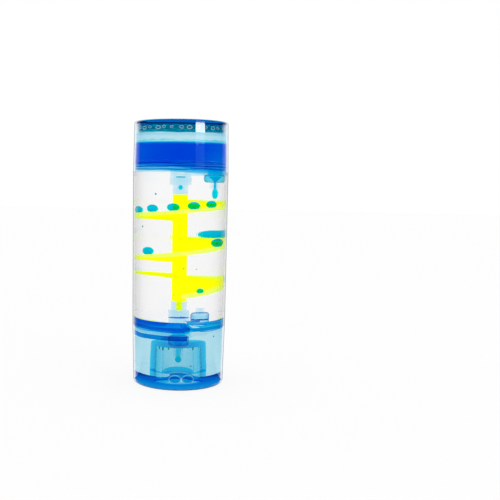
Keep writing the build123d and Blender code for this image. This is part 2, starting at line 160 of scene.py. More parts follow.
# Streaks on the upper plate, each with its height and its width. Pale and deep ones take turns.
STREAKS = ((119.3, 0.3), (118.2, 0.4), (117.4, 0.3), (116.6, 0.45), (115.7, 0.3), (115.0, 0.4))

# Specks in the oil, each with its radius, angle, height, size and height as a share of its width.
SPECKS = (
    (20.5, -35.0, 102.6, 0.42, 1.2), (21.0, -58.0, 85.6, 0.38, 1.3),
    (19.5, 6.0, 64.5, 0.33, 1.0), (20.0, 24.0, 64.2, 0.3, 0.8),
    (21.0, 55.0, 27.4, 0.42, 0.9), (20.5, 18.0, 12.6, 0.36, 1.2),
    (21.5, -20.0, 93.0, 0.22, 1.0), (18.0, -8.0, 50.5, 0.24, 1.0),
)
BUBBLE_COUNT = 34
BUBBLE_SQUASH = 0.7

# Stage, with the floor and the softbox in metres.
FLOOR_RADIUS = 3.0
SOFTBOX_AZIMUTH = 46.0
SOFTBOX_DISTANCE = 1.2
SOFTBOX_WIDTH = 0.5
CAMERA_TILT = 9.212
CAMERA_ROLL = 0.808

# The side of the studio that looks dark in the timer. It starts and is full where a mirrored ray
# points this far to the back, from 1 straight behind the timer to -1 at the viewer. On the floor
# it starts off the foot, and behind the timer it comes in between two radii.
DARK_SIDE = (0.75, 0.4)
DARK_FLOOR_START = 28.0
DARK_FLOOR_SPREAD = (35.0, 170.0)


def deselect():
    for each in bpy.context.view_layer.objects:
        each.select_set(False)


def pick(piece):
    """Makes a piece the only one that the next operator acts on."""
    deselect()
    piece.select_set(True)
    bpy.context.view_layer.objects.active = piece


def slot_of(node_name):
    """The record's material slot of a node."""
    for entry in frame["record"]["subparts"]:
        if entry["node"] == node_name:
            return entry["material_slot"]
    raise RuntimeError(f"no slot for {node_name}")


def top_of(node_name):
    """Height of the top of a node."""
    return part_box(node_name)[1][2] / MILLIMETRE


def smooth_copy(node_name, piece_name, finish, inset=0.0, meniscus=0.0):
    """Stands a welded and smoothly shaded copy in for a node, drawn in by the inset in metres, and
    with its sharp edges rounded to a meniscus of that width."""
    source = nodes[node_name]
    piece = bpy.data.objects.new(piece_name, source.data.copy())
    bpy.context.scene.collection.objects.link(piece)
    pick(piece)
    bpy.ops.object.mode_set(mode="EDIT")
    bpy.ops.mesh.select_all(action="SELECT")
    bpy.ops.mesh.remove_doubles(threshold=WELD * MILLIMETRE)
    bpy.ops.mesh.normals_make_consistent(inside=False)
    bpy.ops.object.mode_set(mode="OBJECT")
    if inset:
        draw_in(piece, inset)
    if meniscus:
        rounding = piece.modifiers.new("meniscus", "BEVEL")
        rounding.limit_method = "ANGLE"
        rounding.angle_limit = MENISCUS_ANGLE
        rounding.width = meniscus * MILLIMETRE
        rounding.segments = 2
        bpy.ops.object.modifier_apply(modifier=rounding.name)
    bpy.ops.object.shade_smooth_by_angle(angle=CREASE_ANGLE)
    weighted = piece.modifiers.new("weighted", "WEIGHTED_NORMAL")
    weighted.keep_sharp = True
    bpy.ops.object.modifier_apply(modifier=weighted.name)
    piece.data.materials.clear()
    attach(piece, "root")
    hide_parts(node_name)
    slot_of(node_name)
    piece.data.materials.append(finish)


def draw_in(piece, inset):
    """Moves every point of a closed piece in along its normal, by so many metres."""
    normals = [vertex.normal.copy() for vertex in piece.data.vertices]
    for vertex, normal in zip(piece.data.vertices, normals):
        vertex.co -= normal * inset
    piece.data.update()


def wave(seed, size, counts):
    """A height that wanders round the axis, with so many crests to the turn in each part."""
    draw = random.Random(seed)
    parts = [(count, draw.uniform(0, 2 * pi), draw.uniform(0.5, 1.0)) for count in counts]
    total = sum(share for _, _, share in parts)
    return lambda angle: size * sum(
        share * sin(count * angle + start) for count, start, share in parts) / total


def flat(angle):
    return 0.0


def round_axis(radius, angle, height):
    """Point at a radius from the axis and at an angle from the front."""
    return (radius * sin(radians(angle)), -radius * cos(radians(angle)), height)


def new_dome(name, place, radius, height, soft):
    """A squat round dome that stands at a place, or hangs where its height is negative."""
    deselect()
    bpy.ops.mesh.primitive_cylinder_add(
        vertices=64, radius=radius * MILLIMETRE, depth=abs(height) * MILLIMETRE,
        location=[part * MILLIMETRE for part in (*place[:2], place[2] + height / 2)])
    dome = bpy.context.object
    dome.name = name
    round_off = dome.modifiers.new("round_off", "BEVEL")
    round_off.width = soft * MILLIMETRE
    round_off.segments = 6
    round_off.limit_method = "ANGLE"
    finish_new(dome)
    return dome


def new_ring(name, radius, thickness, low, high, lower_edge=flat, upper_edge=flat, soft=0.1,
             span=None):
    """A thin ring against a wall, with edges that wander, or only its arc between two angles from
    the front."""
    deselect()
    bpy.ops.mesh.primitive_circle_add(vertices=288, radius=(radius - thickness / 2) * MILLIMETRE)
    ring = bpy.context.object
    ring.name = name
    bpy.ops.object.mode_set(mode="EDIT")
    bpy.ops.mesh.select_mode(type="VERT")
    bpy.ops.mesh.select_all(action="SELECT")
    bpy.ops.mesh.extrude_region_move(TRANSFORM_OT_translate={"value": (0, 0, MILLIMETRE)})
    bpy.ops.object.mode_set(mode="OBJECT")
    angles = [atan2(vertex.co.x, -vertex.co.y) for vertex in ring.data.vertices]
    for vertex, angle in zip(ring.data.vertices, angles):
        extruded = vertex.co.z > MILLIMETRE / 2
        height = high + upper_edge(angle) if extruded else low + lower_edge(angle)
        vertex.co.z = height * MILLIMETRE
    if span:
        start, end = (radians(angle) for angle in span)
        for part in (*ring.data.edges, *ring.data.polygons):
            part.select = False
        for vertex, angle in zip(ring.data.vertices, angles):
            vertex.select = not start <= angle <= end
        bpy.ops.object.mode_set(mode="EDIT")
        bpy.ops.mesh.delete(type="VERT")
        bpy.ops.object.mode_set(mode="OBJECT")
    body = ring.modifiers.new("body", "SOLIDIFY")
    body.thickness = thickness * MILLIMETRE
    body.offset = 0.0
    round_off = ring.modifiers.new("round_off", "BEVEL")
    round_off.width = soft * MILLIMETRE
    round_off.segments = 3
    finish_new(ring)
    return ring


def new_beads(name, beads):
    """Beads in one piece, each with its place, its radius and its height as a share."""
    made = []
    for place, radius, squash in beads:
        deselect()
        bpy.ops.mesh.primitive_uv_sphere_add(
            segments=20, ring_count=12, radius=radius * MILLIMETRE,
            location=[part * MILLIMETRE for part in place])
        bpy.ops.object.mode_set(mode="EDIT")
        bpy.ops.mesh.select_all(action="SELECT")
        bpy.ops.transform.resize(value=(1.0, 1.0, squash))
        bpy.ops.object.mode_set(mode="OBJECT")
        made.append(bpy.context.object)
    deselect()
    for bead in made:
        bead.select_set(True)
    bpy.context.view_layer.objects.active = made[0]
    bpy.ops.object.join()
    piece = bpy.context.object
    piece.name = name
    finish_new(piece)
    return piece


def finish_new(piece):
    """Applies the modifiers of a new piece, closes and smooths it, and puts it on the timer."""
    pick(piece)
    for modifier in list(piece.modifiers):
        bpy.ops.object.modifier_apply(modifier=modifier.name)
    bpy.ops.object.transform_apply(location=True, rotation=True, scale=True)
    bpy.ops.object.mode_set(mode="EDIT")
    bpy.ops.mesh.select_all(action="SELECT")
    bpy.ops.mesh.normals_make_consistent(inside=False)
    bpy.ops.object.mode_set(mode="OBJECT")
    bpy.ops.object.shade_smooth_by_angle(angle=NEW_CREASE_ANGLE)
    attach(piece, "root")


def dress(piece, finish, node_name):
    """Gives a new piece its material, and looks up the slot of the node that it goes with, which
    it does not keep.
    """
    piece.data.materials.append(finish)
    slot_of(node_name)


class Number:
    """A number in a material's nodes, which Python's arithmetic turns into Math nodes."""

    def __init__(self, finish, socket):
        self.finish = finish
        self.socket = socket

    def __add__(self, other):
        return self.finish.math("ADD", self, other)

    def __rsub__(self, other):
        return self.finish.math("SUBTRACT", other, self)

    def __mul__(self, other):
        return self.finish.math("MULTIPLY", self, other)

    def __pow__(self, other):
        return self.finish.math("POWER", self, other)

    def __gt__(self, other):
        return self.finish.math("GREATER_THAN", self, other)

    def __lt__(self, other):
        return self.finish.math("LESS_THAN", self, other)

    def __or__(self, other):
        return self.finish.math("MAXIMUM", self, other)

    def __abs__(self):
        return self.finish.math("ABSOLUTE", self)

    def within(self, low, high):
        """One between the two bounds."""
        return (self > low) * (self < high)


class Finish:
    """A material or world under construction."""

    def __init__(self, owner):
        self.owner = owner
        owner.use_nodes = True
        self.tree = owner.node_tree
        self.tree.nodes.clear()

    def node(self, kind, settings=None, values=None, output=0):
        """Adds a node, with its settings first and then the values or links of its sockets."""
        made = self.tree.nodes.new(kind)
        for name, value in (settings or {}).items():
            setattr(made, name, value)
        for place, value in (values or {}).items():
            socket = made.inputs[place]
            if isinstance(value, Number):
                self.tree.links.new(value.socket, socket)
            else:
                socket.default_value = value
        return Number(self, made.outputs[output])

    def math(self, operation, *values):
        return self.node("ShaderNodeMath", {"operation": operation}, dict(enumerate(values)))

    def ramp(self, value, start, full, share=1.0):
        """Number that rises softly from 0 to a share while the value goes from start to full."""
        return self.node("ShaderNodeMapRange", {"interpolation_type": "SMOOTHSTEP"}, {
            "Value": value, "From Min": start, "From Max": full, "To Max": share,
        })

    def parts(self, vector):
        """The three numbers in a vector."""
        split = self.node("ShaderNodeSeparateXYZ", values={0: vector}).socket.node
        return [Number(self, split.outputs[axis]) for axis in "XYZ"]

    def spot(self, kind="Object"):
        return self.node("ShaderNodeTexCoord", output=kind)

    def place(self):
        """Distance from the axis and height of the point that is shaded."""
        across, along, up = self.parts(self.spot())
        radius = (across * across + along * along) ** 0.5
        return radius * PER_METRE, up * PER_METRE

    def upward(self):
        """Height of the normal, from -1 on a ceiling to 1 on a floor."""
        return self.parts(self.node("ShaderNodeNewGeometry", output="Normal"))[2]

    def levelness(self):
        """How far the surface faces up or down, from 0 on a wall to 1 on a floor."""
        return abs(self.upward())

    def facing(self):
        """How far the surface turns away from the viewer, from 0 to 1 where it is seen edge-on."""
        return self.node("ShaderNodeLayerWeight", values={"Blend": 0.5}, output="Facing")

    def seen(self):
        """One for rays that come from the camera, straight or by way of gloss or glass."""
        camera, glossy, through = (
            self.node("ShaderNodeLightPath", output=kind)
            for kind in ("Is Camera Ray", "Is Glossy Ray", "Is Transmission Ray")
        )
        return camera | glossy | through

    def mirrored_front(self, kind):
        """One for rays that the timer mirrors towards the dark side of the studio."""
        across, along, _ = self.parts(self.spot(kind))
        behind = along * (across * across + along * along) ** -0.5
        front = self.ramp(behind, *DARK_SIDE)
        mirrored, glossy = (
            self.node("ShaderNodeLightPath", output=kind)
            for kind in ("Is Reflection Ray", "Is Glossy Ray")
        )
        return front * mirrored * glossy

    def ripple(self, scale, depth):
        """Normal of a surface with soft ripples, of so many to the metre and so deep in metres."""
        waves = self.node("ShaderNodeTexNoise", values={
            "Vector": self.spot(), "Scale": scale, "Detail": 2.0, "Roughness": 0.5,
        })
        return self.node("ShaderNodeBump", values={
            "Strength": 1.0, "Distance": depth, "Height": waves,
        })

    def clouds(self, scale, low, high, flatten=1.0):
        """Share from 0 to 1 that drifts through the object in soft clouds, so many to the metre
        and flattened so many times, and goes from none to all of it between low and high."""
        drawn = self.node("ShaderNodeMapping", values={
            "Vector": self.spot(), "Scale": (1.0, 1.0, flatten),
        })
        cloud = self.node("ShaderNodeTexNoise", values={
            "Vector": drawn, "Scale": scale, "Detail": 3.0, "Roughness": 0.55,
        })
        return self.ramp(cloud, low, high)

    def glass(self, colour, ior, normal=None):
        values = {"Color": (*colour, 1.0), "IOR": ior, "Roughness": 0.0}
        if normal is not None:
            values["Normal"] = normal
        return self.node("ShaderNodeBsdfGlass", values=values)

    def gloss(self, colour, roughness):
        return self.node("ShaderNodeBsdfGlossy", values={
            "Color": (*colour, 1.0), "Roughness": roughness,
        })

    def paint(self, colour):
        return self.node("ShaderNodeBsdfDiffuse", values={"Color": (*colour, 1.0)})

    def clear(self, colour=WHITE):
        return self.node("ShaderNodeBsdfTransparent", values={"Color": (*colour, 1.0)})

    def glow(self, colour, strength):
        return self.node("ShaderNodeEmission", values={
            "Color": (*colour, 1.0), "Strength": strength,
        })

    def sky(self, colour, strength):
        return self.node("ShaderNodeBackground", values={
            "Color": (*colour, 1.0), "Strength": strength,
        })

    def mix(self, share, first, second):
        """Mixes two shaders, with the share of the second."""
        return self.node("ShaderNodeMixShader", values={0: share, 1: first, 2: second})

    def surface(self, shader, absorbed=None, density=0.0):
        """Gives the material its surface, and its absorption where it is tinted right through."""
        values = {"Surface": shader}
        if absorbed is not None:
            values["Volume"] = self.node("ShaderNodeVolumeAbsorption", values={
                "Color": (*absorbed, 1.0), "Density": density,
            })
        world = self.owner.id_type == "WORLD"
        out = self.tree.nodes.new("ShaderNodeOutputWorld" if world else "ShaderNodeOutputMaterial")
        for place, value in values.items():
            self.tree.links.new(value.socket, out.inputs[place])


def material(name):
    return Finish(bpy.data.materials.new(name))


def absorption(loss):
    """Colour and density of an absorption from what is lost of red, green and blue in 1 mm."""
    density = max(loss) / MILLIMETRE
    return tuple(1 - part / max(loss) for part in loss), density


def wall_finish(name, looks, tint=None):
    """Outer faces bend light as plastic in air does, and mirror the studio where they are seen
    edge-on, where the tube also turns grey and each wall has a dark outline, both painted shade.
    Inner faces, wet with oil, let it straight on, and the underside of the base does so in a
    painted blue light that darkens to painted shade at its rim. A tint makes it the wall of a cup."""
    made = material(name)
    radius, height = made.place()
    levelness = made.levelness()
    upright = 1.0 - levelness
    facing = made.facing()
    ripple = made.ripple(scale=60.0, depth=looks.ripple_depth)
    gleam = made.gloss(WHITE, roughness=0.02)
    inner = made.clear()
    if tint is None:
        # Painted shade: the clear tube's glass turns grey where it is seen edge-on.
        outer = made.mix(facing ** looks.edge_sharpness,
                         made.glass(WHITE, looks.plastic_ior, ripple),
                         made.glass(looks.edge_shade_colour, looks.plastic_ior))
        grazing, gleam_share = facing, looks.gleam_share
    else:
        outer = made.glass(looks.cup_colour, looks.plastic_ior, ripple)
        grazing, gleam_share = facing + looks.cup_gleam_extra, looks.cup_gleam_share
        pillar = (radius < PILLAR_RADIUS) * (height < PILLAR_TOP)
        inner = made.mix(pillar * facing, inner, made.clear(looks.pillar_colour))
    rim = made.ramp(grazing, looks.gleam_start, looks.gleam_full, gleam_share)
    outer = made.mix(rim * upright, outer, gleam)
    outer = made.mix(height.within(*COLLAR_HEIGHTS) * looks.collar_gloss, outer, gleam)
    # Painted shade: a dark, see-through line along the edge of each wall where it is seen edge-on.
    line = made.ramp(facing, looks.outline_start, looks.outline_full, looks.outline_share)
    outer = made.mix(line * upright, outer, made.clear(looks.outline_shade_colour))
    # Painted light: the underside of the base lets light up in a painted blue, darker towards its
    # rim as painted shade.
    foot = made.mix(made.ramp(radius, *FOOT_RIM_RADII), made.clear(looks.foot_light_colour),
                    made.clear(looks.foot_rim_shade_colour))
    inner = made.mix(height < END_DEPTH, inner, foot)
    outside = (
        (radius > OUTER_RADIUS) * (levelness < UPRIGHT)
        | (height > TOP - END_DEPTH)
        | (radius < RECESS_RADIUS) * height.within(*RECESS_HEIGHTS)
    )
    made.surface(made.mix(outside, inner, outer), *(() if tint is None else absorption(tint)))
    return made.owner


def inner_finish(name, colour, second_colour, ior, loss, flatten=1.0, wet=None, stained=None,
                 stain=WHITE, painted_highlight=None, outline=0.0, lit_top=0.0):
    """Plastic or liquid that stands in oil: it bends light a little, in two drifting tints. Each
    mask is made from radius, height and levelness. Where it is wet by what it touches, and all
    over if it has no index, it lets light straight on. Where it is stained, it has the colour of
    the stain as well. Where it has a painted highlight, it glows pale. A painted outline glows
    pale where it is seen edge-on, and a lit top glows."""
    made = material(name)
    share = made.clouds(scale=90.0, low=0.4, high=0.62, flatten=flatten)

    def in_two_tints(shade):
        return made.mix(share, shade(colour), shade(second_colour))

    def where(mask):
        return mask(*made.place(), made.levelness())

    if ior is None:
        shader = in_two_tints(made.clear)
    else:
        ripple = made.ripple(scale=150.0, depth=GRAIN_DEPTH)
        shader = in_two_tints(lambda tint: made.glass(tint, ior, ripple))
    if wet:
        shader = made.mix(where(wet), shader, in_two_tints(made.clear))
    if stained:
        shader = made.mix(where(stained), shader, made.clear(stain))
    # Painted highlight: a pale glow where the mask says.
    if painted_highlight:
        shader = made.mix(where(painted_highlight) * 0.8, shader, made.glow(PAINTED_HIGHLIGHT_COLOUR, strength=0.9))
    if lit_top:
        upward = made.ramp(made.upward(), start=0.1, full=0.9)
        shader = made.mix(upward * lit_top, shader, made.glow(LIT_COLOUR, strength=1.0))
    # Painted highlight: a pale glow along the outline, where the surface is seen edge-on.
    if outline:
        edge = made.facing() ** 5.0
        shader = made.mix(edge * outline, shader, made.glow(PAINTED_HIGHLIGHT_COLOUR, strength=0.95))
    made.surface(shader, *absorption(loss))
    return made.owner


def skin_finish(name, middle, edge):
    """A film that is darker where it is seen edge-on, with a faint painted highlight along its
    outline.
    """
    made = material(name)
    facing = made.facing()
    film = made.mix(facing ** 1.5, made.clear(middle), made.clear(edge))
    # Painted highlight: a faint pale glow along the edge of the film.
    outline = made.glow((0.85, 0.98, 1.0), strength=0.9)
    made.surface(made.mix(facing ** 8.0 * 0.3, film, outline))
    return made.owner


def bubble_finish(name):
    """Air in oil: clear, with a painted highlight round its rim that drifts a little in strength.
    """
    made = material(name)
    drift = made.clouds(scale=400.0, low=0.35, high=0.6) * 0.15 + 0.85
    # Painted highlight: the rim of each bubble glows.
    rim = made.facing() ** 2.0 * drift
    made.surface(made.mix(rim, made.clear((0.93, 0.97, 0.98)),
                          made.glow((0.85, 1.0, 1.0), strength=1.3)))
    return made.owner


def pool_masks(wet_height):
    """Where a pool is wet by what it touches, and the painted highlight on the shoulder round its
    flat top.
    """
    return {
        "wet": lambda radius, height, levelness: (levelness < FLAT) | (height < wet_height),
        # Painted highlight: the rounded shoulder just under the flat top glows.
        "painted_highlight": lambda radius, height, levelness: (
            (height > wet_height - SHOULDER_DROP) * levelness.within(SHOULDER, FLAT)),
    }


class TimerLooks(bpy.types.PropertyGroup):
    """Colours, shares and lengths, the lengths in metres"""

    plastic_ior: bpy.props.FloatProperty(
        name="Plastic index", description="Refractive index of the tube, the cups and the oil",
        default=1.48, min=1.3, max=1.7)
    ripple_depth: bpy.props.FloatProperty(
        name="Wall ripple", description="Depth of the soft ripples that moulding leaves in a wall",
        default=0.000002, min=0.0, max=0.001, precision=6, unit="LENGTH")
    # Painted shade: the grey that the tube turns where it is seen edge-on, and how fast it fades
    # away from an edge.
    edge_shade_colour: bpy.props.FloatVectorProperty(
        name="Edge colour", description="Colour that the tube takes where it is seen edge-on",
        default=(0.12, 0.12, 0.1), size=3, min=0.0, max=1.0, subtype="COLOR")
    edge_sharpness: bpy.props.FloatProperty(
        name="Edge sharpness", description="How fast the edge colour fades away from an edge",
        default=3.0, min=1.0, max=20.0)
    # Painted light: the blue light that comes up through the base, and the darker painted shade at
    # its rim.
    foot_light_colour: bpy.props.FloatVectorProperty(
        name="Foot colour", description="Colour of the light that comes up through the base",
        default=(0.015, 0.5, 0.93), size=3, min=0.0, max=1.0, subtype="COLOR")
    foot_rim_shade_colour: bpy.props.FloatVectorProperty(
        name="Foot rim colour", description="Colour of the light that comes up at the base's rim",
        default=(0.01, 0.22, 0.5), size=3, min=0.0, max=1.0, subtype="COLOR")
    pillar_colour: bpy.props.FloatVectorProperty(
        name="Pillar colour", description="Colour that the faces of the pillar add to its tint",
        default=(0.25, 0.93, 1.0), size=3, min=0.0, max=1.0, subtype="COLOR")
    cup_colour: bpy.props.FloatVectorProperty(
        name="Cup colour", description="Colour that the faces of a cup add to its tint",
        default=(0.985, 0.975, 0.965), size=3, min=0.0, max=1.0, subtype="COLOR")
    # Painted shade: the dark, see-through line along the edge of a wall.
    outline_shade_colour: bpy.props.FloatVectorProperty(
        name="Outline colour", description="Colour of the thin line along the edge of a wall",
        default=(0.45, 0.55, 0.58), size=3, min=0.0, max=1.0, subtype="COLOR")
    outline_start: bpy.props.FloatProperty(
        name="Outline start", description="Grazing from which the thin line starts",
        default=0.78, min=0.0, max=1.0, subtype="FACTOR")
    outline_full: bpy.props.FloatProperty(
        name="Outline full", description="Grazing from which the thin line is in full",
        default=0.9, min=0.0, max=1.0, subtype="FACTOR")
    outline_share: bpy.props.FloatProperty(
        name="Outline share", description="Share of the line where it is in full",
        default=0.7, min=0.0, max=1.0, subtype="FACTOR")
    collar_gloss: bpy.props.FloatProperty(
        name="Collar gloss", description="Share of light that the collar at the top mirrors",
        default=0.4, min=0.0, max=1.0, subtype="FACTOR")
    gleam_start: bpy.props.FloatProperty(
        name="Gleam start", description="Grazing from which a wall starts to mirror the studio",
        default=0.66, min=0.0, max=1.0, subtype="FACTOR")
    gleam_full: bpy.props.FloatProperty(
        name="Gleam full", description="Grazing from which a wall mirrors the studio in full",
        default=0.8, min=0.0, max=1.0, subtype="FACTOR")
    gleam_share: bpy.props.FloatProperty(
        name="Gleam share", description="Share of light that the edge of the tube mirrors",
        default=0.6, min=0.0, max=1.0, subtype="FACTOR")
    cup_gleam_share: bpy.props.FloatProperty(
        name="Cup gleam share", description="Share of light that the edge of a cup mirrors",
        default=0.8, min=0.0, max=1.0, subtype="FACTOR")
    cup_gleam_extra: bpy.props.FloatProperty(
        name="Cup gleam", description="How much sooner a cup starts to mirror than the tube",
        default=0.02, min=0.0, max=0.5, subtype="FACTOR")
    tint_loss: bpy.props.FloatVectorProperty(
        name="Tint", description="Red, green and blue lost in a millimetre of tinted plastic",
        default=(0.16, 0.042, 0.009), size=3, min=0.0, max=5.0)
    slide_loss: bpy.props.FloatVectorProperty(
        name="Slide", description="Red, green and blue lost in a millimetre of yellow plastic",
        default=(0.003, 0.0, 0.5), size=3, min=0.0, max=5.0)
    deep_loss: bpy.props.FloatVectorProperty(
        name="Deep liquid", description="Red, green and blue lost in a millimetre of a deep layer",
        default=(0.9, 0.055, 0.004), size=3, min=0.0, max=5.0)
    drop_loss: bpy.props.FloatVectorProperty(
        name="Drops", description="Red, green and blue lost in a millimetre of a drop",
        default=(2.5, 0.065, 0.015), size=3, min=0.0, max=5.0)
    fluorescence: bpy.props.FloatProperty(
        name="Fluorescence", description="Share of its own light that the yellow plastic gives",
        default=0.1, min=0.0, max=1.0, subtype="FACTOR")
    oil_colour: bpy.props.FloatVectorProperty(
        name="Oil", description="Colour that each face of the clear oil adds",
        default=(0.985, 0.985, 0.988), size=3, min=0.0, max=1.0, subtype="COLOR")
    contact_inset: bpy.props.FloatProperty(
        name="Oil film", description="Film of oil that parts a liquid from the plastic",
        default=0.00003, min=0.0, max=0.001, precision=6, unit="LENGTH")
    camera_distance: bpy.props.FloatProperty(
        name="Camera distance", description="From the axis of the tube to the camera",
        default=0.4067, min=0.1, max=5.0, unit="LENGTH")
    camera_height: bpy.props.FloatProperty(
        name="Camera height", description="Height of the camera over the floor",
        default=0.1076, min=0.0, max=5.0, unit="LENGTH")


class TIMER_OT_walls(bpy.types.Operator):
    """Make the clear tube and the two tinted cups"""

    bl_idname = "timer.walls"
    bl_label = "Tube and cups"

    def execute(self, context):
        looks = context.scene.timer_looks
        clear = wall_finish("clear_plastic_wall", looks)
        tinted = wall_finish("tinted_plastic_wall", looks, looks.tint_loss)
        for node_name, finish in (
            ("clear_tube", clear),
            ("lower_end_cup", tinted),
            ("upper_end_cup", tinted),
        ):
            smooth_copy(node_name, f"{node_name}_wall", finish)
        return {"FINISHED"}


class TIMER_OT_plates(bpy.types.Operator):
    """Make the two divider plates"""

    bl_idname = "timer.plates"
    bl_label = "Divider plates"

    def execute(self, context):
        looks = context.scene.timer_looks
        finish = inner_finish(
            "pale_tinted_plastic", WHITE, (0.94, 0.98, 1.0), PLATE_INDEX,
            loss=[0.5 * loss for loss in looks.tint_loss],
            flatten=6.0,
            wet=lambda radius, height, levelness: (
                (height > UPPER_PLATE_WET) | height.within(*LOWER_PLATE_WET)
                | (levelness > PLATE_FLAT)),
            stained=lambda radius, height, levelness: (
                height.within(*PLATE_BAND) * (radius > HUB_RADIUS)),
            stain=(0.03, 0.58, 0.88))
        for node_name in PLATE_NODES:
            smooth_copy(node_name, f"{node_name}_moulding", finish)
        return {"FINISHED"}


class TIMER_OT_slide(bpy.types.Operator):
    """Make the spiral slide"""

    bl_idname = "timer.slide"
    bl_label = "Spiral slide"

    def execute(self, context):
        looks = context.scene.timer_looks
        made = material("yellow_plastic")
        radius, _ = made.place()
        to_rim = made.ramp(radius, *RAMP_RIM_RADII)
        grain = made.ripple(scale=220.0, depth=GRAIN_DEPTH)
        body = made.mix(to_rim, made.glass((1.0, 1.0, 0.12), SLIDE_INDEX, grain),
                        made.glass((0.9, 1.0, 0.8), SLIDE_INDEX, grain))
        # Painted light: a share of the yellow plastic glows at a fixed strength, for its
        # fluorescence, paler towards the rim of the ramps.
        own_light = made.mix(to_rim, made.glow((1.0, 1.0, 0.0), strength=1.9),
                             made.glow((0.72, 1.0, 0.75), strength=1.9))
        made.surface(made.mix(looks.fluorescence, body, own_light), *absorption(looks.slide_loss))
        smooth_copy("spiral_slide", "slide_with_ramps", made.owner, 0.5 * looks.contact_inset)
        return {"FINISHED"}


class TIMER_OT_liquid(bpy.types.Operator):
    """Make the coloured liquid: the layer above the upper plate, the pools and the drops"""

    bl_idname = "timer.liquid"
    bl_label = "Coloured liquid"

    def execute(self, context):
        looks = context.scene.timer_looks
        layer = inner_finish(
            "blue_layer", WHITE, (0.8, 0.95, 1.0), None, looks.deep_loss, flatten=3.0,
            stained=lambda radius, height, levelness: height < NOZZLE_LAYER,
            stain=(0.2, 0.8, 0.94))
        # Both pools have a painted highlight on the shoulder round their flat top.
        pool = inner_finish(
            "blue_pool", WHITE, (0.97, 0.99, 1.0), POOL_INDEX, looks.deep_loss,
            **pool_masks(POOL_WET))
        base = inner_finish(
            "blue_base_pool", WHITE, (0.97, 0.99, 1.0), POOL_INDEX,
            loss=[0.15 * loss for loss in looks.deep_loss],
            stained=lambda radius, height, levelness: (
                (levelness < SHOULDER) | (height < BASE_POOL_DEEP)),
            stain=(0.35, 0.9, 0.98),
            **pool_masks(BASE_POOL_WET))
        # Landed drops have a painted highlight along their outline, and the tops of the others
        # glow as painted light.
        thin = inner_finish("blue_drop", (0.08, 0.92, 0.95), (0.04, 0.89, 0.93), DROP_INDEX,
                            looks.drop_loss, lit_top=0.4)
        landed = inner_finish("landed_blue_drop", (0.08, 0.86, 0.96), (0.04, 0.82, 0.95),
                              DROP_INDEX, looks.drop_loss, outline=0.9)
        inset = looks.contact_inset
        smooth_copy("upper_blue_liquid", "upper_blue_liquid_body", layer, inset)
        for node_name, finish in (("middle_blue_liquid", pool), ("lower_blue_liquid", base)):
            smooth_copy(node_name, f"{node_name}_body", finish, inset, meniscus=0.5)
        for node_name in DROP_NODES:
            finish = landed if node_name.startswith("landed") else thin
            smooth_copy(node_name, f"{node_name}_bead", finish, inset)
        smooth_copy("ceiling_film", "ceiling_film_skin", thin, inset)
        return {"FINISHED"}


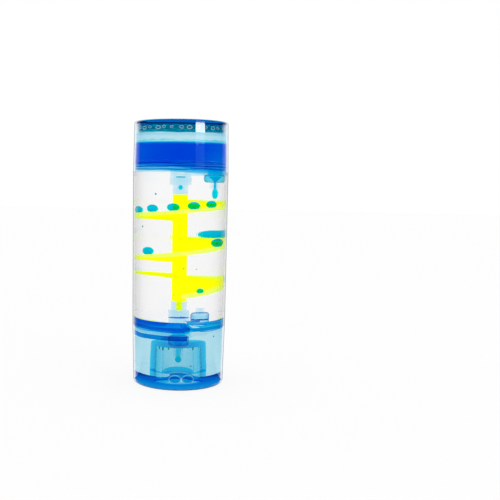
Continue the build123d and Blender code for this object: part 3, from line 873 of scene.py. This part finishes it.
class TIMER_OT_residue(bpy.types.Operator):
    """Make the films, the lines, the bubbles and the specks that a run leaves behind"""

    bl_idname = "timer.residue"
    bl_label = "Residue"

    def execute(self, context):
        ceiling = top_of("ceiling_film")
        self.cling(ceiling, top_of("upper_blue_liquid"))
        self.draw_lines(top_of("middle_blue_liquid"))
        self.wet_nozzles()
        self.scatter(ceiling)
        return {"FINISHED"}

    def cling(self, ceiling, level):
        """The residue under the ceiling, and the meniscus of the upper layer."""
        film = inner_finish("teal_film", (0.05, 0.74, 0.84), (0.1, 0.8, 0.88), DROP_INDEX,
                            (0.1, 0.02, 0.01), flatten=4.0)
        ring = new_ring("ceiling_residue", radius=20.2, thickness=0.8,
                        low=ceiling - 2.3, high=ceiling - 0.6,
                        lower_edge=wave(3, 0.4, (5, 9, 14, 23, 31)))
        dress(ring, film, "upper_blue_liquid")
        # The meniscus has a painted highlight along its outline.
        meniscus = inner_finish("cyan_meniscus", (0.8, 1.0, 1.0), (0.62, 0.97, 1.0), DROP_INDEX,
                                (0.1, 0.02, 0.0), outline=0.5)
        rim = new_ring("level_meniscus", radius=23.05, thickness=0.5,
                       low=level - 0.1, high=level + 0.95,
                       upper_edge=wave(5, 0.7, (4, 7, 11, 17, 26)))
        dress(rim, meniscus, "upper_blue_liquid")

    def draw_lines(self, level):
        """The streaks on the upper plate, and the lines round the pool on the lower one:
        yellow-green ones at the pool's edge as a painted reflection of the slide, dark blue ones
        as painted shade on and under the plate, and a pale one.
        """
        # Pale streaks and the pale line on the lower plate have a painted highlight along their
        # outline.
        pale = inner_finish("pale_streak", (0.5, 0.92, 0.98), (0.8, 0.97, 1.0), FILM_INDEX,
                            FILM_LOSS, outline=0.7)
        deep = inner_finish("deep_streak", (0.1, 0.6, 0.85), (0.3, 0.75, 0.92), FILM_INDEX,
                            FILM_LOSS)
        for number, (height, width) in enumerate(STREAKS, start=1):
            path = wave(20 + number, 0.7, (1, 2, 3, 5, 8))
            streak = new_ring(f"plate_streak_{number}", STREAK_RADIUS, FILM_THICKNESS,
                              height, height + width, lower_edge=path, upper_edge=path,
                              soft=FILM_SOFTNESS)
            dress(streak, pale if number % 2 else deep, "upper_blue_liquid")
        # Painted reflection: the yellow-green lines at the pool's edge stand for the slide
        # mirrored there, with a painted highlight along their outline.
        painted_reflection = inner_finish("painted_slide_reflection", (0.86, 1.0, 0.5), (0.8, 1.0, 0.75), FILM_INDEX,
                            (0.02, 0.001, 0.04), outline=0.6)
        # Painted shade: dark blue lines on the lower plate and a dark band under it.
        shade = inner_finish("painted_blue_shade", (0.02, 0.42, 0.8), (0.06, 0.55, 0.88), FILM_INDEX,
                             FILM_LOSS)
        for name, seed, low, high, span, finish in (
            ("painted_reflection_left", 54, level - 0.1, level + 0.35, (-95.0, -17.0), painted_reflection),
            ("painted_reflection_right", 55, level - 0.1, level + 0.35, (58.0, 100.0), painted_reflection),
            ("plate_line_high", 55, 31.0, 31.3, (-95.0, 8.0), shade),
            ("plate_line_low", 54, 29.5, 29.9, (-95.0, 8.0), pale),
            ("plate_line_right", 56, 31.0, 31.3, (28.0, 95.0), shade),
            ("under_plate_painted_shade", 56, 26.6, 29.1, (-95.0, 12.0), shade),
        ):
            path = wave(seed, 0.25, (2, 3, 7, 11))
            line = new_ring(name, LINE_RADIUS, FILM_THICKNESS, low, high, lower_edge=path,
                            upper_edge=path, soft=FILM_SOFTNESS, span=span)
            dress(line, finish, "upper_blue_liquid")

    def wet_nozzles(self):
        """The wetted skins round three nozzles."""
        pale = skin_finish("film_skin", (0.85, 0.98, 1.0), (0.0, 0.35, 0.72))
        teal = skin_finish("teal_film_skin", (0.5, 0.94, 0.97), (0.02, 0.52, 0.7))
        for name, place, radius, height, finish in (
            ("drip_film", round_axis(13.0, 45.0, 35.6), 4.3, 4.6, pale),
            ("funnel_film", round_axis(13.0, 90.0, 113.0), 4.5, -4.2, teal),
            ("drain_film", round_axis(14.3, 0.0, 28.4), 4.75, -5.6, pale),
        ):
            dress(new_dome(name, place, radius, height, soft=1.3), finish, "upper_blue_liquid")

    def scatter(self, ceiling):
        """The row of bubbles under the ceiling, and the specks in the oil."""
        draw = random.Random(11)
        row = []
        for number in range(BUBBLE_COUNT):
            size = draw.uniform(0.85, 1.35)
            angle = 360 * number / BUBBLE_COUNT + draw.uniform(-2.0, 2.0)
            middle = round_axis(23.2 - size, angle, ceiling - 0.62 - BUBBLE_SQUASH * size)
            row.append((middle, size, BUBBLE_SQUASH))
        dress(new_beads("ceiling_bubbles", row), bubble_finish("air_bubble"), "upper_clear_oil")
        speck = inner_finish("teal_speck", (0.2, 0.7, 0.75), (0.1, 0.6, 0.7), DROP_INDEX,
                             (1.0, 0.3, 0.2))
        specks = new_beads("oil_specks", [
            (round_axis(radius, angle, height), size, squash)
            for radius, angle, height, size, squash in SPECKS
        ])
        dress(specks, speck, "upper_blue_liquid")


class TIMER_OT_oil(bpy.types.Operator):
    """Make the clear oil that fills the chambers"""

    bl_idname = "timer.oil"
    bl_label = "Clear oil"

    def execute(self, context):
        looks = context.scene.timer_looks
        made = material("clear_oil")
        made.surface(made.clear(looks.oil_colour))
        for node_name in OIL_NODES:
            smooth_copy(node_name, f"{node_name}_body", made.owner, 2 * looks.contact_inset)
        return {"FINISHED"}


class TIMER_OT_stage(bpy.types.Operator):
    """Set the floor, the light and the camera"""

    bl_idname = "timer.stage"
    bl_label = "Stage"

    def execute(self, context):
        scene = context.scene
        scene.view_settings.view_transform = "Standard"
        scene.cycles.max_bounces = 48
        scene.cycles.transmission_bounces = 48
        scene.cycles.glossy_bounces = 24
        scene.cycles.transparent_max_bounces = 64
        self.lay_floor(context)
        self.light(scene)
        self.seat_camera(scene)
        return {"FINISHED"}

    def lay_floor(self, context):
        """A pale floor, with its own part of the dark side."""
        deselect()
        bpy.ops.mesh.primitive_circle_add(vertices=96, radius=FLOOR_RADIUS, fill_type="NGON",
                                          location=(0, 0, -0.1 * MILLIMETRE))
        floor = context.object
        floor.name = "floor"
        made = material("pale_floor")
        pale = made.mix(made.seen() * 0.85, made.paint((0.9, 0.9, 0.9)),
                        made.glow(WHITE, strength=1.0))
        radius, _ = made.place()
        _, along, _ = made.parts(made.spot())
        spread = made.ramp(radius, *DARK_FLOOR_SPREAD) | (along < 0.0)
        shade = made.mirrored_front("Object") * (radius > DARK_FLOOR_START) * spread
        made.surface(made.mix(shade, pale, made.paint((0.02, 0.02, 0.02))))
        floor.data.materials.append(made.owner)

    def light(self, scene):
        """A white studio with its dark side, a softbox and a faint one under it."""
        made = Finish(bpy.data.worlds.new("studio"))
        scene.world = made.owner
        made.surface(made.mix(made.mirrored_front("Generated"),
                              made.sky(WHITE, strength=1.0),
                              made.sky((0.0, 0.5, 1.0), strength=0.02)))
        self.softbox("strip_softbox", low=0.245, high=0.9, power=1.9, colour=WHITE)
        self.softbox("strip_fill", low=0.18, high=0.245, power=0.07, colour=(0.25, 0.85, 1.0))

    def softbox(self, name, low, high, power, colour):
        """An upright softbox between two heights in metres, round to the right of the viewer."""
        data = bpy.data.lights.new(name, "AREA")
        data.shape = "RECTANGLE"
        data.size = SOFTBOX_WIDTH
        data.size_y = high - low
        data.energy = power
        data.color = colour
        azimuth = radians(SOFTBOX_AZIMUTH)
        way = Vector((sin(azimuth), -cos(azimuth), 0.0))
        box = bpy.data.objects.new(name, data)
        bpy.context.scene.collection.objects.link(box)
        box.location = way * SOFTBOX_DISTANCE + Vector((0, 0, (low + high) / 2))
        box.rotation_euler = way.to_track_quat("Z", "Y").to_euler()

    def seat_camera(self, scene):
        """The camera as it was fitted to the outline, the seams and the rims."""
        looks = scene.timer_looks
        camera = bpy.data.cameras.new("photo_camera")
        camera.lens = 53.8
        camera.sensor_width = 36.0
        camera.shift_x = 0.1422
        camera.shift_y = 0.1112
        camera.clip_start = 0.01
        seat = bpy.data.objects.new("photo_camera", camera)
        scene.collection.objects.link(seat)
        seat.matrix_world = (
            Matrix.Translation((0, -looks.camera_distance, looks.camera_height))
            @ Matrix.Rotation(radians(90 - CAMERA_TILT), 4, "X")
            @ Matrix.Rotation(radians(CAMERA_ROLL), 4, "Z")
        )
        scene.camera = seat


class TIMER_PT_pieces(bpy.types.Panel):
    """Lists the groups of pieces, and the looks that can be set"""

    bl_idname = "TIMER_PT_pieces"
    bl_label = "Liquid motion timer"
    bl_space_type = "VIEW_3D"
    bl_region_type = "UI"
    bl_category = "Timer"

    def draw(self, context):
        for step in STEPS:
            self.layout.operator(step.bl_idname)
        for name in TimerLooks.__annotations__:
            self.layout.prop(context.scene.timer_looks, name)


STEPS = (
    TIMER_OT_walls,
    TIMER_OT_plates,
    TIMER_OT_slide,
    TIMER_OT_liquid,
    TIMER_OT_residue,
    TIMER_OT_oil,
    TIMER_OT_stage,
)
CLASSES = (TimerLooks, *STEPS, TIMER_PT_pieces)


def register():
    for each in CLASSES:
        bpy.utils.register_class(each)
    bpy.types.Scene.timer_looks = bpy.props.PointerProperty(type=TimerLooks)


def unregister():
    del bpy.types.Scene.timer_looks
    for each in reversed(CLASSES):
        bpy.utils.unregister_class(each)


def main():
    register()
    for step in STEPS:
        group, action = step.bl_idname.split(".")
        getattr(getattr(bpy.ops, group), action)()


if __name__ == "__main__":
    main()
